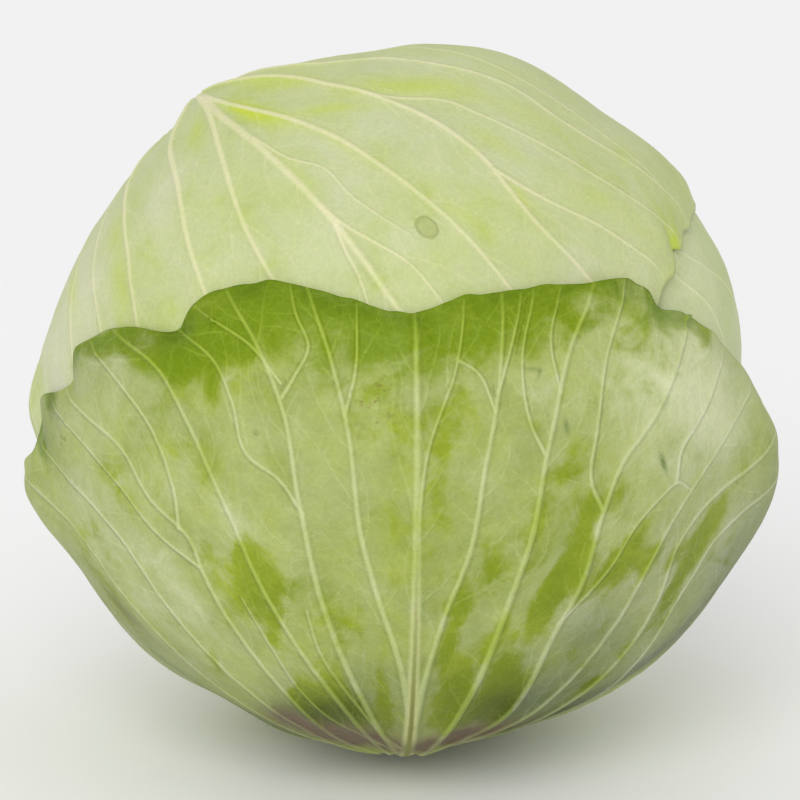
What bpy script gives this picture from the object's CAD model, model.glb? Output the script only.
"""White cabbage: builds its leaves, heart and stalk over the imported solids, and a studio."""

import math
import random

import bmesh
import bpy
import numpy as np
from bpy.props import FloatProperty, FloatVectorProperty, IntProperty, PointerProperty
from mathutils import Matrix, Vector, kdtree


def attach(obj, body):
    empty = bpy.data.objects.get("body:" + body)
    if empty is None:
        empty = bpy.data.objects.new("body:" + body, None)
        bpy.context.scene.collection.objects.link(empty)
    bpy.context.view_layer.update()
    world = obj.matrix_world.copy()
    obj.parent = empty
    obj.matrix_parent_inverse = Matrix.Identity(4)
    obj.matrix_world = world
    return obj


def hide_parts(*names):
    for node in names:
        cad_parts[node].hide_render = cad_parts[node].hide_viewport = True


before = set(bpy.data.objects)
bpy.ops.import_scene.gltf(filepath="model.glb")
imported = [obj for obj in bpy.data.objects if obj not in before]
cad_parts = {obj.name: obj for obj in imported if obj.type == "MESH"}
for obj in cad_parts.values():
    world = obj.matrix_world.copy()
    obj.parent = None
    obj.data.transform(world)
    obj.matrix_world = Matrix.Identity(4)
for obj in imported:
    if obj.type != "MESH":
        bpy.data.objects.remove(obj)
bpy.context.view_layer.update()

bl_info = {
    "name": "White Cabbage",
    "version": (1, 0, 0),
    "blender": (4, 5, 0),
    "location": "View3D > Sidebar > Cabbage",
    "description": "Builds a white cabbage head with veined, waxy leaves",
    "category": "Add Mesh",
}

# ---------------------------------------------------------------------------------------------
# The head's form, in millimetres and degrees, as in the solids.
#
# A direction from the middle of the head has an azimuth (0 = front, 90 = right) and a latitude.
# A leaf's plan is flat: x runs to the leaf's right seen from outside and y toward its tip, both
# in degrees at the middle of the head, and the leaf's centre is (0, 0).

MM = 0.001
HEAD_RADIUS = 100.4
HEAD_CENTRE_Z = 97.8
BASE_FLATTENING = 0.055
BASE_SPAN = 45
LEAF_STEP = 3.1
USUAL_WRAP = 3 * LEAF_STEP
SINK = 0.65
MARGIN_RAMP = 12
SLOPE_REACH = 2
BASE_CLEARANCE = 15
HEART_CLEARANCE = 1
SEAT_DEPTH = 17
SEAT_INNER = 9
SEAT_OUTER = 16
DEGREE = HEAD_RADIUS * math.pi / 180  # mm of leaf per degree of plan

# Broad bumps and hollows: azimuth, latitude, height in mm and spread in degrees.
FORM = (
    (-96, 60, 2, 10),
    (103, 75, 3.8, 15),
    (90, 37, 2.2, 11),
    (-91, 38, -1.4, 18),
    (-87, -5, 6, 12.5),
    (175, 86, -1.4, 18),
    (88, 18, 0.6, 12),
    (-59, -54, -3, 11),
    (-44, -63, 1.6, 8),
    (3, -72, -1.5, 14),
    (72, -34, 4.2, 18),
)

# The leaves, from the inside to the outside. ribs are the main veins and forks the finer ones
# that leave them: half width at the start and at the end in mm, then points of the plan.
# fan is the number of further main veins on each side, placed by rule, and fan_point is where
# they seem to spread from. outline, midrib and the lobes of ruffles go by bearing in the plan, 0
# toward the tip: a ruffle has its bearing, width, change of reach in degrees and lift in mm.
# rib is the midrib's height at its base and its tip in mm, then its widths there in degrees.
# lifts are where a leaf stands away from the head, given as FORM's bumps are. wax is the bloom in
# the middle and at the sides. fresh is the green band of the tip: how far in it holds and ends in
# mm, and the bearings over which it fades. marks are soft patches of the plan: x, y, half length,
# half width, heading and amount, where a negative amount takes away.
LEAVES = (
    {
        "name": "inner_leaf",
        "fan_point": (0, -100),
        "finish": "pale_leaf",
        "centre": (-15, 45),
        "turn": 0,
        "rings": 72,
        "outline": (
            (0, 118), (25, 112), (50, 92), (80, 74), (110, 72), (140, 88), (162, 112),
            (180, 121), (-162, 112), (-140, 88), (-110, 72), (-80, 74), (-50, 92), (-25, 112),
        ),
        "midrib": ((180, 121), (180, 50), (0, 0.5), (2, 110)),
        "rib": (1.2, 0.5, 7, 4),
        "midrib_width": (2.2, 0.5),
        "fan": 9,
    },
    {
        "name": "right_leaf",
        "fan_point": (0, -80),
        "finish": "pale_leaf",
        "centre": (118, 0),
        "turn": 0,
        "rings": 100,
        "outline": (
            (0, 32), (-14, 42), (-30, 55), (-50, 66), (-75, 72), (-100, 72), (-125, 70),
            (-150, 72), (-170, 76), (180, 77), (168, 76), (145, 66), (115, 60), (85, 58),
            (60, 52), (40, 40), (18, 30),
        ),
        "midrib": ((180, 77), (178, 30), (0, 0.5), (-3, 31)),
        "rib": (3, 0.8, 6, 2),
        "midrib_width": (3, 0.6),
        "ribs": ((0.9, 0.4, ((-4, -62), (-30, -22), (-45, 10), (-52, 28), (-57, 36))),),
        "fan": 7,
    },
    {
        "name": "crown_leaf",
        "fan_point": (4, -30),
        "finish": "crown_leaf",
        "centre": (-100, 60),
        "turn": 66,
        "rings": 140,
        "outline": (
            (0, 91), (-17, 97), (-30, 103), (-37, 95), (-47, 89.5), (-55, 87.5), (-64, 86),
            (-74, 85), (-84, 78), (-97, 70), (-119, 65), (-133, 68), (-146, 73), (-159, 82),
            (-172, 96), (172, 112), (160, 127), (148, 138), (138, 143), (126, 143),
            (118, 124), (110, 96), (100, 81), (84, 74), (69, 73), (50, 76), (30, 82), (15, 87),
        ),
        "midrib": (
            (132, 143), (150, 128), (165, 106), (173, 80), (172, 50), (163, 20), (60, 4),
            (15, 20), (7, 38), (3, 60), (2, 74), (1, 86),
        ),
        "rib": (2.4, 0.7, 7, 1.8),
        "midrib_width": (3.4, 0.5),
        "ribs": (
            (1.1, 0.4, ((4, 9), (3, 17), (-3, 35), (-9, 50), (-15, 64), (-21, 78))),
            (1.3, 0.45, ((2, 0), (-6, 14), (-13, 31), (-22, 44), (-27, 54), (-28.5, 60), (-31, 66),
                         (-38, 73), (-44, 80))),
            (1.2, 0.4, ((0, -8), (-15, 16), (-30, 26), (-41, 33), (-48, 40), (-56, 42), (-76, 44))),
            (0.8, 0.3, ((0, -16), (-20, 8), (-33, 17), (-45, 29), (-66, 42))),
            (1.1, 0.4, ((4, 4), (6, 17), (10, 31), (16, 49), (20, 68))),
            (1.3, 0.4, ((3, -4), (13, 13), (18, 28), (28, 48), (36, 66))),
            (1.2, 0.4, ((2, -14), (13, -4), (22, 9), (28, 21), (33, 30), (40, 37), (52, 48))),
            (0.9, 0.35, ((2, -24), (18, -6), (32, 12), (44, 26), (60, 42))),
            (0.9, 0.35, ((3, -36), (22, -14), (44, 13), (68, 26))),
            (1.0, 0.35, ((5, -50), (32, -28), (70, 4))),
            (1.0, 0.35, ((8, -66), (40, -46), (72, -16))),
            (0.9, 0.35, ((14, -84), (48, -66), (76, -36))),
            (1.0, 0.35, ((2, -26), (-26, -2), (-50, 12), (-80, 26))),
            (1.0, 0.35, ((3, -40), (-32, -18), (-72, 0))),
            (1.0, 0.35, ((5, -56), (-30, -38), (-60, -26))),
            (0.9, 0.35, ((8, -74), (-20, -62), (-48, -52))),
        ),
        "forks": (
            (0.6, 0.3, ((-27.8, 56), (-32, 59.5), (-37, 62), (-46, 64), (-58, 66))),
            (0.6, 0.3, ((-15.5, 35), (-20, 37), (-26, 38.5), (-32, 43.5), (-41, 49), (-48, 52),
                        (-56, 54), (-72, 54))),
            (0.45, 0.15, ((4.4, 33), (2.6, 41), (-1, 47), (-2, 54), (-4.6, 60), (-7, 64))),
            (0.5, 0.25, ((3.8, 53), (2, 58), (-1, 63), (-4, 68), (-6, 76))),
            (0.45, 0.2, ((3.4, 57), (4.6, 61), (5.2, 65), (9, 74))),
        ),
        "ruffles": (
            (-41, 2, -0.6, 0), (-45.5, 1.8, 0.9, 0), (-49, 1.2, -1.0, -0.3), (-52, 1.6, 0.5, 0),
            (-56, 2, -0.6, 0), (-60, 2, 0.5, 0),
        ),
        "marks": {
            "yellow": (
                (1.6, 23, 8, 1.9, -6, 1.7), (-1.5, 31, 5, 1.6, -15, 0.8),
                (-4, 12, 5, 2.4, -20, 0.7), (-7, 20, 6, 3, -35, 0.8), (-20, 33, 9, 3.4, -75, 0.7),
                (-8.5, 35, 5, 1.4, -60, 0.8), (-28, 34, 6, 4, -90, 0.5),
                (-31, 50, 5, 2, -50, 0.35), (-30, 61, 3, 1.6, -20, 0.6), (-67, 56, 4, 2, 20, 1.3),
                (-63, 68, 5, 2, 20, 0.6), (-18, 64, 5, 1.6, -40, 0.4), (30, 20, 5, 2.4, 30, 0.5),
                (36, 29, 5, 2, 40, 0.6), (41, 10, 6, 2, 30, 0.8), (9, 17, 5, 1.6, 20, 0.7),
                (3, 45, 8, 1.4, 0, 0.4), (-6, 44, 7, 1.4, -20, 0.4), (-40, 40, 8, 3, -60, 0.3),
                (-48, 58, 8, 3, -80, 0.35),
            ),
            "rub": ((-28, 38, 9, 6, 60, 0.4), (0, 24, 8, 3, 0, 0.5)),
            "pallor": (
                (40, 14, 20, 7, 35, 0.6), (58, 12, 26, 9, 35, 1.0), (22, 30, 12, 5, 30, 0.35),
                (-8, 52, 14, 4, -25, 0.3),
            ),
            "scar": ((-10.2, 63.7, 2.1, 2.1, 0, 1.0),),
        },
    },
    {
        "name": "rear_right_leaf",
        "fan_point": (0, -66),
        "finish": "green_leaf",
        "centre": (150, -22),
        "turn": 0,
        "rings": 112,
        "outline": (
            (0, 36), (-18, 39), (-38, 36), (-60, 43), (-90, 53), (-120, 57), (-148, 57),
            (-167, 56), (180, 55), (167, 56), (148, 57), (120, 57), (90, 56), (60, 46),
            (35, 37), (14, 39),
        ),
        "midrib": ((180, 55), (180, 25), (0, 0.5), (3, 33)),
        "rib": (4, 1, 8, 2.2),
        "midrib_width": (4, 0.6),
        "fan": 6,
    },
    {
        "name": "rear_left_leaf",
        "fan_point": (0, -66),
        "finish": "green_leaf",
        "centre": (-125, -20),
        "turn": 0,
        "rings": 112,
        "outline": (
            (0, 33), (-16, 36), (-34, 34), (-58, 44), (-88, 57), (-118, 60), (-148, 59),
            (-167, 58), (180, 57), (167, 57), (148, 56), (120, 53), (95, 45), (68, 33),
            (40, 27), (16, 31),
        ),
        "midrib": ((180, 57), (180, 25), (0, 0.5), (-2, 30)),
        "rib": (4, 1, 8, 2.2),
        "midrib_width": (4, 0.6),
        "fan": 6,
    },
    {
        "name": "front_leaf",
        "fan_point": (0, -64),
        "finish": "green_leaf",
        "centre": (3, -10),
        "turn": 0,
        "rings": 140,
        "outline": (
            (0, 35), (13, 38.5), (25, 42), (38, 48.5), (47, 55.5), (53, 54.5), (58, 59),
            (66, 63.5), (73, 69), (86, 80), (97, 88), (110, 85), (124, 77), (140, 71),
            (155, 68), (168, 67.5), (180, 67), (-168, 67), (-155, 66), (-140, 71), (-124, 75),
            (-110, 85), (-102, 87), (-97, 84), (-93, 80), (-89.5, 78), (-84, 77.2),
            (-79.5, 71), (-75, 69), (-67, 66), (-60, 59),
            (-54, 51), (-46, 50.5), (-34, 47), (-19, 40), (-10, 36.5),
        ),
        "midrib": ((180, 67), (180, 30), (0, 0.5), (0, 33)),
        "rib": (4, 0.8, 8, 1.6),
        "midrib_width": (2.7, 0.5),
        "lifts": ((82, -10, 9.4, 14), (-82, -14, 3.2, 10)),
        "ruffles": (
            (-52, 2, -0.6, -0.4), (-57, 3, 0.3, 0.6), (-70.5, 2.5, 1.2, 1.0),
            (-76.5, 2, -0.8, -1.0), (-83, 3, 1.6, 1.0), (-88.5, 2, 0.8, -0.8),
            (-93.5, 2, -0.8, 0.4), (47, 2, -0.8, -0.6), (66, 3, 0.8, 0.8), (78, 4, 0.6, 0.6),
            (96, 6, 1.0, 1.4), (-30, 3, 0.3, 0.6), (-43, 3, 0.5, 0.8), (30, 4, 0.3, 0.6),
            (41, 3, 0.5, 1.0),
        ),
        "ribs": (
            (1.0, 0.35, ((0, -34), (-2, -20), (-6, -6), (-8, 2), (-10, 18), (-13, 29), (-17, 39))),
            (1.1, 0.35, ((-1, -48), (-10, -22), (-14, -8), (-17, 7), (-19.5, 20), (-24, 29),
                         (-31, 38))),
            (0.9, 0.35, ((-3, -50), (-13, -27), (-25, -4), (-28, 3), (-35, 16), (-42, 24),
                         (-53, 28))),
            (1.0, 0.35, ((-5, -54), (-20, -31), (-33, -8), (-35, -3), (-42, 2), (-48, 9), (-57, 12),
                         (-68, 14))),
            (1.0, 0.35, ((-6, -57), (-25, -36), (-40, -19), (-50, -8), (-57, -4), (-66, -2),
                         (-80, 0))),
            (1.0, 0.35, ((-8, -60), (-32, -38), (-49, -24), (-64, -14), (-86, -10))),
            (0.9, 0.35, ((-9, -62), (-36, -46), (-58, -33), (-80, -26))),
            (1.0, 0.35, ((0.5, -34), (1.5, -24), (4, -12), (8, 0), (10, 12), (12, 22), (14, 38))),
            (1.4, 0.4, ((3, -50), (10, -26), (14, -10), (17, 0), (20, 15), (24, 28), (31, 39))),
            (1.4, 0.4, ((4, -54), (16, -38), (22, -18), (26, -9), (29, 2), (33, 10), (38, 15),
                        (50, 30))),
            (1.4, 0.4, ((6, -56), (23, -37), (34, -19), (39, -9), (43, -3), (48, 1), (57, 6),
                        (66, 10), (84, 14))),
            (1.4, 0.4, ((7, -58), (30, -40), (42, -19), (46, -8), (50, -5), (56, -3), (66, -2),
                        (84, 0))),
            (1.2, 0.4, ((8, -60), (36, -42), (50, -18), (55, -13), (60, -11), (84, -9))),
            (1.1, 0.4, ((10, -62), (42, -46), (62, -28), (80, -20))),
        ),
        "forks": (
            (0.8, 0.3, ((-1, -44), (-6, -36), (-10.6, -27), (-14.4, -18), (-16, -11))),
            (0.8, 0.3, ((-2, -46), (-11, -38), (-17, -30), (-22, -20), (-26.5, -11))),
            (0.5, 0.25, ((-10.4, 20), (-9, 26), (-9, 38))),
            (0.5, 0.25, ((-19.7, 22), (-18, 25), (-16, 29.5), (-18, 34), (-20, 40))),
            (0.4, 0.25, ((-20, 24), (-25, 29), (-33, 33))),
            (0.5, 0.3, ((-16.4, 5), (-20, 10), (-25, 13), (-28, 21), (-31, 26), (-40, 31))),
            (0.6, 0.3, ((-37, -1.4), (-37.6, 5), (-39.4, 10), (-42, 14), (-50, 20), (-62, 26))),
            (0.5, 0.25, ((-33.6, -7.4), (-42, -3.4), (-49, 2.6), (-57, 6.4), (-70, 10))),
            (0.5, 0.25, ((0.1, 3), (1.6, 15), (6, 27), (8, 38))),
            (0.4, 0.3, ((11.7, 20), (9, 26), (6, 28))),
            (0.5, 0.25, ((19.4, 13), (17, 18), (16, 26), (20, 40))),
            (0.4, 0.25, ((12.2, 23), (14, 28), (17, 37))),
            (0.4, 0.25, ((22, 22), (21, 30), (25, 40))),
            (0.6, 0.3, ((29, 3), (27, 8), (28, 15), (30, 25), (37, 38))),
            (0.6, 0.3, ((22.5, -16), (31, -8), (36, -1), (40, 2), (44, 3.5), (47.5, 1))),
            (0.6, 0.3, ((43.5, 3.5), (45, 9), (52, 14), (60, 21), (68, 24))),
        ),
        "wax": (0.44, 0.78),
        "fresh": (5, 30, 48, 64),
        "marks": {
            "rub": (
                (-15.5, -33, 6, 3.6, -25, 2.6), (-8, -33, 6, 2.2, -12, 1.0),
                (-4, -31, 7, 1.6, -8, 1.0), (-12, -27, 4, 1.5, -15, 0.6),
                (6.6, -29, 8, 2.6, 12, 1.7), (5, -18, 9, 1.6, 10, 0.85),
                (14, -28, 8, 3.2, 10, 1.7), (9, -37, 5, 2.4, 12, 1.5), (7, -34, 4, 1.8, 10, 1.4),
                (15, -36, 4, 2, 20, 1.3), (13, -15, 5, 1.6, 15, 1.0), (7, -9, 6, 2.2, 20, 0.75),
                (12, -4, 4, 2, 25, 0.6), (20, -12, 6.4, 3, 18, 1.5), (25, -5, 6, 3, 20, 1.3),
                (26, -13, 4, 2, 30, 0.8), (27, 4, 4, 2.6, 30, 0.8), (33, -7.5, 6, 3.4, 35, 1.3),
                (39, -9, 4, 2.4, 40, 0.8), (45, -19, 6, 2.6, 30, 1.35),
                (45, -11, 4, 2.6, 50, 0.75), (54, -8, 6, 3, 60, 1.1), (62, -22, 8, 1.3, 130, 0.8),
                (37, -30, 3, 1.6, 20, 0.9), (33, -36, 3, 1.6, 40, 0.7), (24, 12, 7, 2.4, 20, 0.6),
                (32, 4, 4, 2, 40, 0.7), (18, 4, 6, 2.2, 15, 0.5), (51, -13, 4, 2, 50, 0.8),
                (55, 26.5, 5, 3.4, 60, 0.8), (60, -15, 6, 3, 60, 0.7), (-16, 12, 5, 2, 0, 0.4),
                (-40, 3, 6, 2, -30, 0.5), (-22, -5, 6, 3, -50, 1.3), (-25, -9, 7, 3.8, -20, 1.1),
                (-22, -18, 5, 2.4, -15, 0.55), (-33, -28, 4, 2.5, -20, 0.8),
                (-33, -4, 4, 2, -20, 0.5), (-50, 2, 6, 3.4, -60, 0.8), (-57, -11, 7, 4, -50, 0.7),
                (-58, -22, 8, 2.4, -60, 0.6), (-44, 12, 8, 2, -40, 0.4), (-9, -2, 9, 2, -8, 0.5),
                (-12, -14, 6, 2, -12, 0.45), (3, 10, 9, 2.4, 0, 0.5), (-3, 12, 9, 2, 0, 0.3),
                (-8, 22, 8, 5, -60, 0.6), (6, 20, 8, 3, 10, 0.6), (-28, 24, 5, 3, -40, 0.5),
            ),
            "wax": (
                (20, 20, 6, 4, 30, 0.3), (36, 22, 10, 7, 30, 0.2), (50, 15, 12, 7, 60, 0.15),
                (-50, 11, 18, 14, 66, -0.25), (-28, 3, 5, 2, -40, 0.25),
                (-40, -12, 8, 4, -40, 0.15), (-18, -24, 6, 3, -20, 0.25),
                (28, -18, 10, 7, 30, 0.2), (22, -30, 6, 3, 30, 0.3), (-35, 12, 5, 3, 0, 0.25),
                (60, -26, 14, 8, 50, 0.1),
            ),
            "blush": (
                (-11, -43, 5, 12, 0, 2.2), (-21, -39, 4, 3, 0, 0.8), (8, -45, 4, 7, 0, 2.0),
                (-52, -28, 9, 2.4, -60, 0.6), (18, -44, 4, 8, 20, 0.7),
            ),
            "pallor": (
                (44, 22, 12, 6, 50, 0.9), (52, 16, 8, 6, 60, 0.8), (60, 9, 10, 5, 80, 0.6),
                (35, 26, 6, 5, 20, 0.6), (-28, 3, 5, 2, -40, 0.3), (-38, -14, 8, 3, -40, 0.3),
            ),
            "dusk": (
                (28, -22, 14, 9, 35, 0.65), (30, -36, 20, 9, 60, 0.65),
                (64, -20, 18, 10, 50, 0.75), (14, -36, 8, 8, 0, 0.7), (-12, -35, 10, 9, 0, 0.9),
                (48, -10, 10, 8, 40, 0.25), (-60, -22, 14, 4, -50, 0.15),
                (-36, -34, 10, 5, -50, 0.4), (-60, 22, 10, 6, 60, 0.35), (0, -26, 8, 8, 0, 0.35),
                (-74, 3, 10, 5, -60, 0.5), (-71, 10, 6, 2.4, -60, 0.6), (14, -32, 6, 9, 20, 0.4),
                (-14, -35, 5, 8, -20, 0.6), (42, -39, 28, 4, 61, 0.9), (-46, -39, 28, 4, -57, 0.7),
                (18, -54, 14, 9, 60, 1.0), (-22, -55, 14, 9, -60, 0.9), (-43, 29, 7, 3, 80, 0.5),
            ),
            "fresh": (
                (31, 27, 8, 5, 90, -0.8), (-20, 34, 8, 12, 0, 0.3), (15, 33, 6, 7, 0, 0.2),
                (28, 37, 7, 8, 0, -0.1), (38, 35, 6, 6, 0, -0.45), (-64, 22, 5, 3, 45, 0.6),
                (-56, 26, 8, 3, 66, 0.8), (-43, 28, 8, 5, 80, 1.5), (50, 30, 8, 2.5, 110, 0.4),
                (-73, 10.5, 4, 2.4, -60, 1.0), (-77, 0, 5, 2.6, -60, 0.9),
            ),
            "specks": ((-6, 22, 5, 4, 0, 1.0),),
            "nicks": ((40.7, 7.8, 1.8, 0.45, 160, 1.0), (22.8, 16.8, 1.3, 0.4, 170, 0.7),
                      (17.6, 25.9, 1.3, 0.3, 100, 0.5), (18.7, 25.2, 0.9, 0.3, 20, 0.5),
                      (-23.7, 16.4, 0.5, 0.4, 0, 0.6)),
        },
    },
)

# Veins that the leaf's own growth adds between the listed ones: how far apart they start and how
# long they run in degrees of plan, their angle to the vein they leave, half widths in mm, and
# how strongly they show.
GROWTH = (
    {"every": 9.0, "length": 24, "angle": 34, "widths": (0.36, 0.16), "show": 0.38},
    {"every": 5.0, "length": 11, "angle": 58, "widths": (0.22, 0.12), "show": 0.22},
)
VEIN_STEP = 0.55  # degrees between the points of a vein
MEETING = 0.62  # a growing vein stops this many degrees from another
RUN_ON = 6  # a vein that ends this near the margin runs on to it
FADE = 7  # degrees over which veins fade toward the margin
FAR_AWAY = 50  # mm, where a leaf has no vein of a kind


def smooth(t, low, high):
    x = np.clip((t - low) / (high - low), 0, 1)
    return x * x * (3 - 2 * x)


def mix(a, b, t):
    return a + (b - a) * t


def direction(azimuth, latitude):
    a, l = math.radians(azimuth), math.radians(latitude)
    return np.array([math.sin(a) * math.cos(l), -math.cos(a) * math.cos(l), math.sin(l)])


def angle_between(directions, one):
    return np.degrees(np.arccos(np.clip(directions @ one, -1, 1)))


def swelling(places, directions):
    height = np.zeros(len(directions))
    for azimuth, latitude, top, spread in places:
        away = angle_between(directions, direction(azimuth, latitude)) / spread
        height += top * np.exp(-away * away)
    return height


def curve_through(points, spacing):
    """A smooth curve through a few points, as points evenly spaced along it."""
    p = np.array(points, float)
    t = np.concatenate([[0], np.cumsum(np.linalg.norm(np.diff(p, axis=0), axis=1))])
    slope = np.gradient(p, t, axis=0) if len(p) > 2 else np.repeat([(p[1] - p[0]) / t[1]], 2, 0)
    fine = np.linspace(0, t[-1], 40 * len(p))
    i = np.clip(np.searchsorted(t, fine, side="right") - 1, 0, len(p) - 2)
    span = t[i + 1] - t[i]
    u = ((fine - t[i]) / span)[:, None]
    span = span[:, None]
    dense = (
        (2 * u**3 - 3 * u**2 + 1) * p[i]
        + (u**3 - 2 * u**2 + u) * span * slope[i]
        + (3 * u**2 - 2 * u**3) * p[i + 1]
        + (u**3 - u**2) * span * slope[i + 1]
    )
    along = np.concatenate([[0], np.cumsum(np.linalg.norm(np.diff(dense, axis=0), axis=1))])
    count = max(2, int(round(along[-1] / spacing)) + 1)
    even = np.linspace(0, along[-1], count)
    return np.stack([np.interp(even, along, dense[:, k]) for k in (0, 1)], axis=1)


class Leaf:
    """One leaf's plan: its margin, its midrib, and the way between plan and direction."""

    BEARING_STEP = 0.25
    BEARINGS = np.arange(-180, 180.01, BEARING_STEP)

    def __init__(self, index, spec):
        self.index = index
        self.name = spec["name"]
        self.spec = spec
        self.random = random.Random(100 + index)
        self.centre = direction(*spec["centre"])
        north = np.array([0, 0, 1.0]) - self.centre * self.centre[2]
        north /= np.linalg.norm(north)
        side = np.cross(north, self.centre)
        turn = math.radians(spec["turn"])
        self.tip = north * math.cos(turn) + side * math.sin(turn)
        self.side = side * math.cos(turn) - north * math.sin(turn)
        self.lifts = spec.get("lifts", ())
        self.margin_table = self.make_margin()
        table = self.margin_table
        step = int(SLOPE_REACH / self.BEARING_STEP)
        ring = np.concatenate([table[-1 - step:-1], table, table[1:1 + step]])
        self.slope_table = (ring[2 * step:] - ring[:-2 * step]) / (2 * SLOPE_REACH)
        chain = [(r * math.sin(math.radians(b)), r * math.cos(math.radians(b)))
                 for b, r in spec["midrib"]]
        self.midrib = curve_through(chain, 3)

    def make_margin(self):
        """The margin's reach over BEARINGS: the outline, cut back where it clasps the stalk."""
        points = sorted(self.spec["outline"])
        b = np.array([p[0] for p in points[-2:]] + [p[0] for p in points]
                     + [p[0] for p in points[:2]], float)
        b[:2] -= 360
        b[-2:] += 360
        r = np.array([p[1] for p in points[-2:]] + [p[1] for p in points]
                     + [p[1] for p in points[:2]], float)
        slope = np.zeros_like(r)
        slope[1:-1] = (r[2:] - r[:-2]) / (b[2:] - b[:-2])
        i = np.clip(np.searchsorted(b, self.BEARINGS, side="right") - 1, 1, len(b) - 3)
        span = b[i + 1] - b[i]
        u = (self.BEARINGS - b[i]) / span
        outline = (
            (2 * u**3 - 3 * u**2 + 1) * r[i] + (u**3 - 2 * u**2 + u) * span * slope[i]
            + (3 * u**2 - 2 * u**3) * r[i + 1] + (u**3 - u**2) * span * slope[i + 1]
        )
        stalk_bearing, stalk_reach = self.polar(np.array([[0, 0, -1.0]]))
        a = math.cos(math.radians(stalk_reach[0]))
        c = math.sin(math.radians(stalk_reach[0])) * np.cos(
            np.radians(self.BEARINGS - stalk_bearing[0]))
        ratio = math.cos(math.radians(BASE_CLEARANCE)) / np.hypot(a, c)
        meets = (c > 0) & (ratio < 1)
        arc = np.degrees(np.arctan2(c, a) - np.arccos(np.minimum(ratio, 1)))
        return np.where(meets, np.minimum(outline, arc), outline)

    def polar(self, directions):
        bearing = np.degrees(np.arctan2(directions @ self.side, directions @ self.tip))
        return bearing, angle_between(directions, self.centre)

    def plan(self, directions):
        bearing, reach = self.polar(directions)
        b = np.radians(bearing)
        return np.stack([reach * np.sin(b), reach * np.cos(b)], axis=1)

    def directions(self, plan):
        reach = np.hypot(plan[:, 0], plan[:, 1])
        r = np.radians(reach)
        share = np.where(reach > 1e-9, np.sin(r) / np.maximum(reach, 1e-9), math.pi / 180)
        return (np.cos(r)[:, None] * self.centre
                + (share * plan[:, 1])[:, None] * self.tip
                + (share * plan[:, 0])[:, None] * self.side)

    def margin(self, bearing):
        return np.interp(bearing, self.BEARINGS, self.margin_table)

    def past_margin(self, directions):
        """Degrees past the margin, square to it; negative inside."""
        bearing, reach = self.polar(directions)
        slope = np.interp(bearing, self.BEARINGS, self.slope_table)
        slope = slope / np.maximum(np.sin(np.radians(reach)), 1e-3)
        return (reach - self.margin(bearing)) / np.hypot(1, slope)

    def cover(self, directions):
        return 1 - smooth(self.past_margin(directions), 0, MARGIN_RAMP)

    def rib_height(self, directions):
        """Height of the midrib over the blade: tallest and widest at the leaf's base."""
        plan = self.plan(directions)
        near = np.full(len(plan), np.inf)
        along = np.zeros(len(plan))
        steps = len(self.midrib) - 1
        for i in range(steps):
            start, way = self.midrib[i], self.midrib[i + 1] - self.midrib[i]
            share = np.clip((plan - start) @ way / (way @ way), 0, 1)
            away = np.linalg.norm(plan - start - share[:, None] * way, axis=1)
            closer = away < near
            near = np.where(closer, away, near)
            along = np.where(closer, (i + share) / steps, along)
        base_height, tip_height, base_width, tip_width = self.spec["rib"]
        away = near / mix(base_width, tip_width, along)
        return mix(base_height, tip_height, along) * np.exp(-away * away)


class Head:
    """All the leaves, and the radius of the heart and of each leaf's outside."""

    def __init__(self):
        self.leaves = [Leaf(i, spec) for i, spec in enumerate(LEAVES)]

    def heart_radius(self, directions):
        from_stalk = angle_between(directions, np.array([0, 0, -1.0]))
        flattening = BASE_FLATTENING * (1 - smooth(from_stalk, 0, BASE_SPAN))
        wrap = sum(LEAF_STEP * leaf.cover(directions) for leaf in self.leaves)
        outside = HEAD_RADIUS * (1 - flattening) + swelling(FORM, directions)
        return outside - USUAL_WRAP - SINK * (wrap - USUAL_WRAP)

    def leaf_radius(self, leaf, directions):
        radius = self.heart_radius(directions)
        for under in self.leaves[:leaf.index]:
            height = LEAF_STEP + under.rib_height(directions) + swelling(under.lifts, directions)
            radius += height * under.cover(directions)
        return radius + LEAF_STEP + swelling(leaf.lifts, directions) + leaf.rib_height(directions)

    def points(self, directions, radius):
        return directions * radius[:, None] + np.array([0, 0, HEAD_CENTRE_Z])


# ---------------------------------------------------------------------------------------------
# Veins


def fan_ribs(leaf, count):
    """Main veins placed by rule: they leave the midrib low down and spread like a fan."""
    ribs = []
    for side in (-1, 1):
        for i in range(count):
            share = (i + 0.5) / count
            root = leaf.midrib[int((0.04 + 0.62 * share**1.3) * (len(leaf.midrib) - 1))]
            bearing = side * (mix(142, 14, share**0.85) + leaf.random.uniform(-3, 3))
            reach = 0.98 * leaf.margin(np.array([bearing]))[0]
            b = math.radians(bearing)
            end = np.array([reach * math.sin(b), reach * math.cos(b)])
            length = np.linalg.norm(end - root)
            bend = root + np.array([side * 0.16, 0.34]) * length
            middle = 0.25 * root + 0.5 * bend + 0.25 * end
            ribs.append((1.1, 0.35, (tuple(root), tuple(middle), tuple(end))))
    return ribs


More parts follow.
